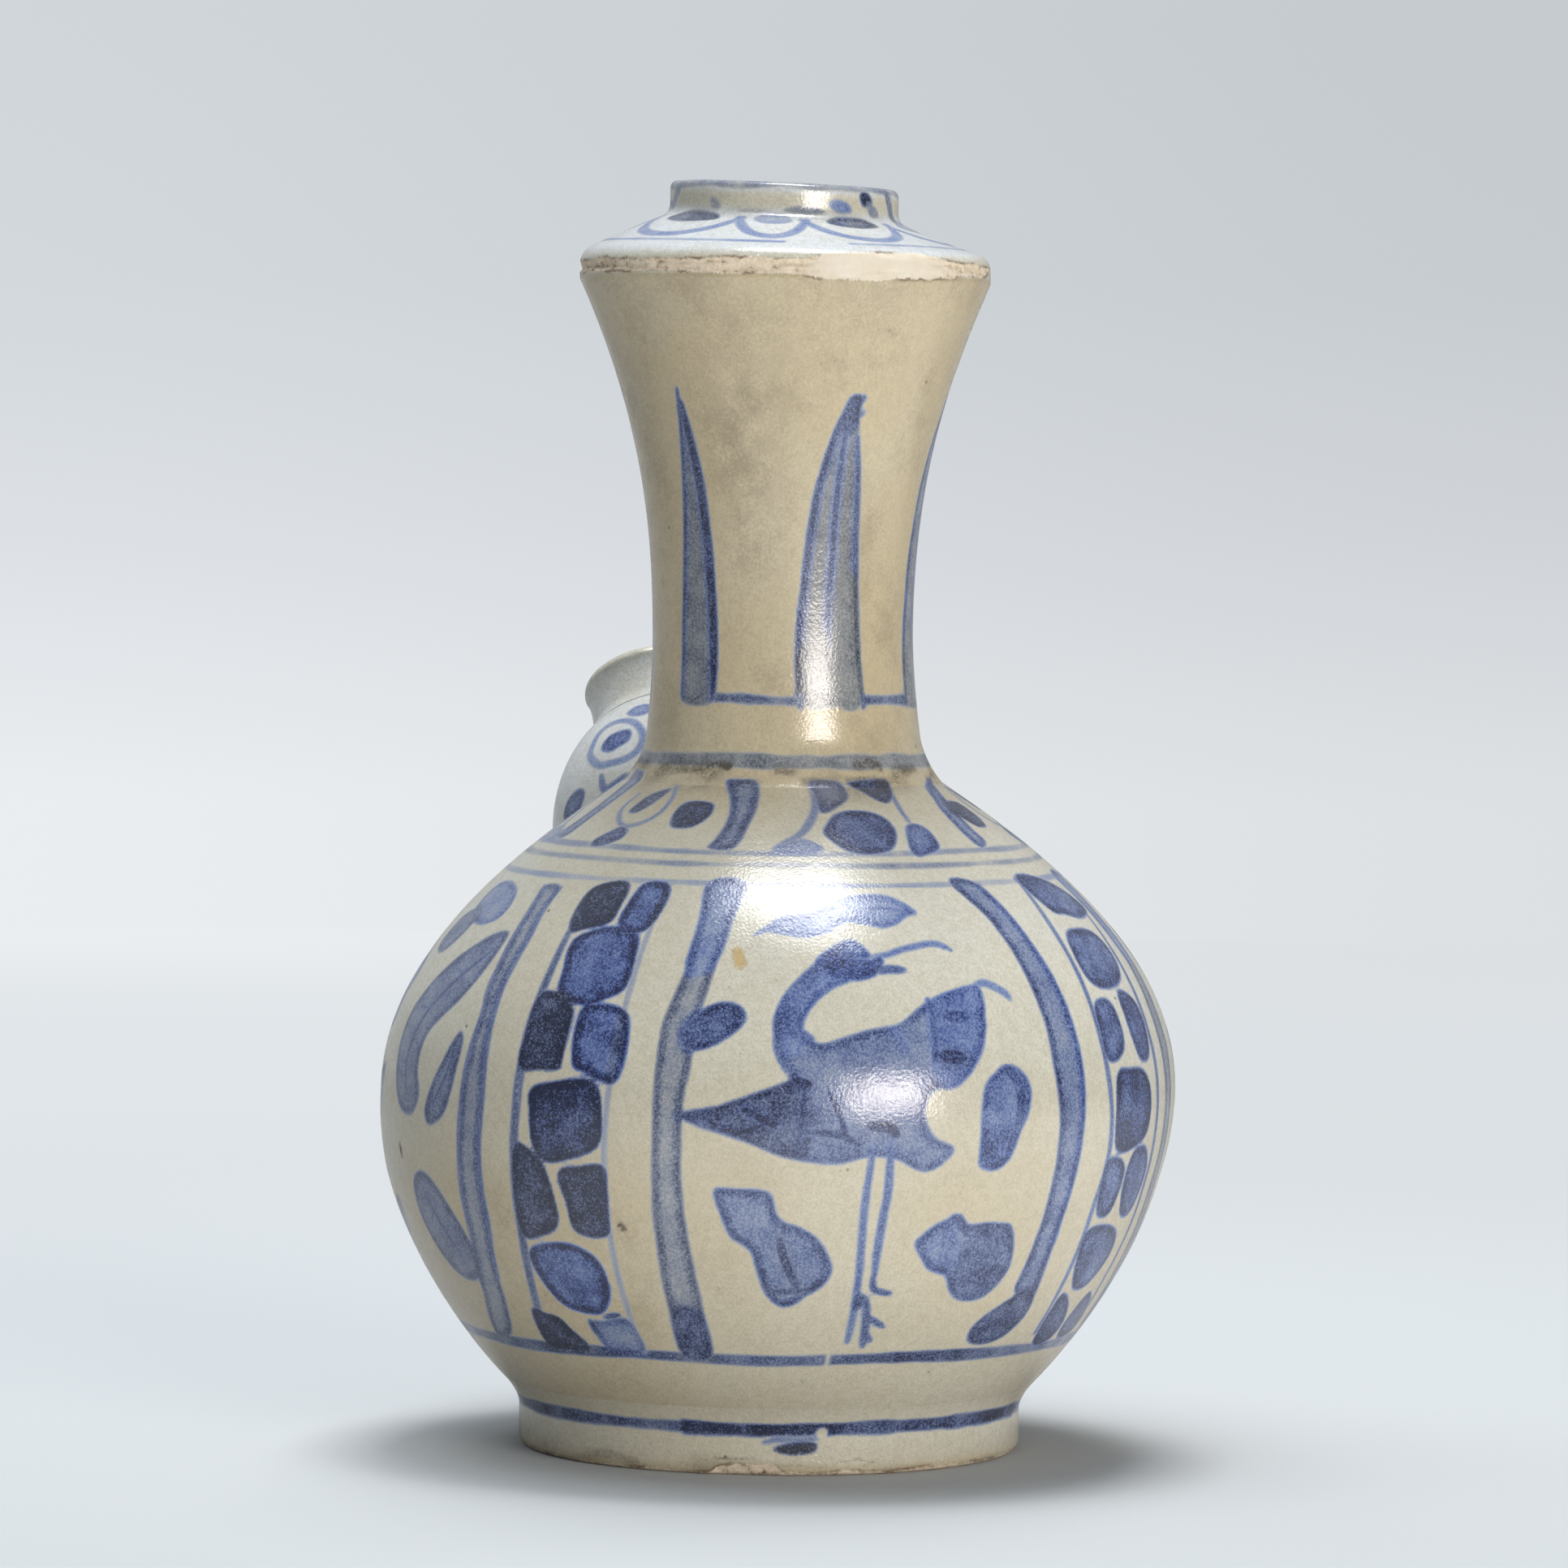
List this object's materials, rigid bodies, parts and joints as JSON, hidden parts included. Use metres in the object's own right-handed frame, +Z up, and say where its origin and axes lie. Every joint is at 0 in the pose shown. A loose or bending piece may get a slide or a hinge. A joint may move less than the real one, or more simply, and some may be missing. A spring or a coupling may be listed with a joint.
{
  "type": "kendi",
  "caption": "Blue and white pouring vessel with a bellied body, a tall waisted neck, a capped mouth with an overhanging edge, and a breast-shaped spout on the shoulder.",
  "frame": {"origin": "centre of the foot ring's standing face, on the table", "axes": "+Z up along the vessel's axis, +X towards the side that the spout pours to"},
  "size_m": [0.1278, 0.1168, 0.185],
  "materials": {
    "glaze": "satin gloss, blue painting under the glaze",
    "slip": "satin gloss over the wiped seam"
  },
  "bodies": {
    "root": {"foot_ring": "glaze", "foot_slip": "slip", "lower_body": "glaze", "waist_slip": "slip", "upper_body": "glaze", "neck_slip": "slip", "neck": "glaze", "flange_slip": "slip", "mouth_cap": "glaze", "spout_slip": "slip", "spout_bulb": "glaze", "tip_slip": "slip", "spout_tip": "glaze"}
  },
  "joints": []
}
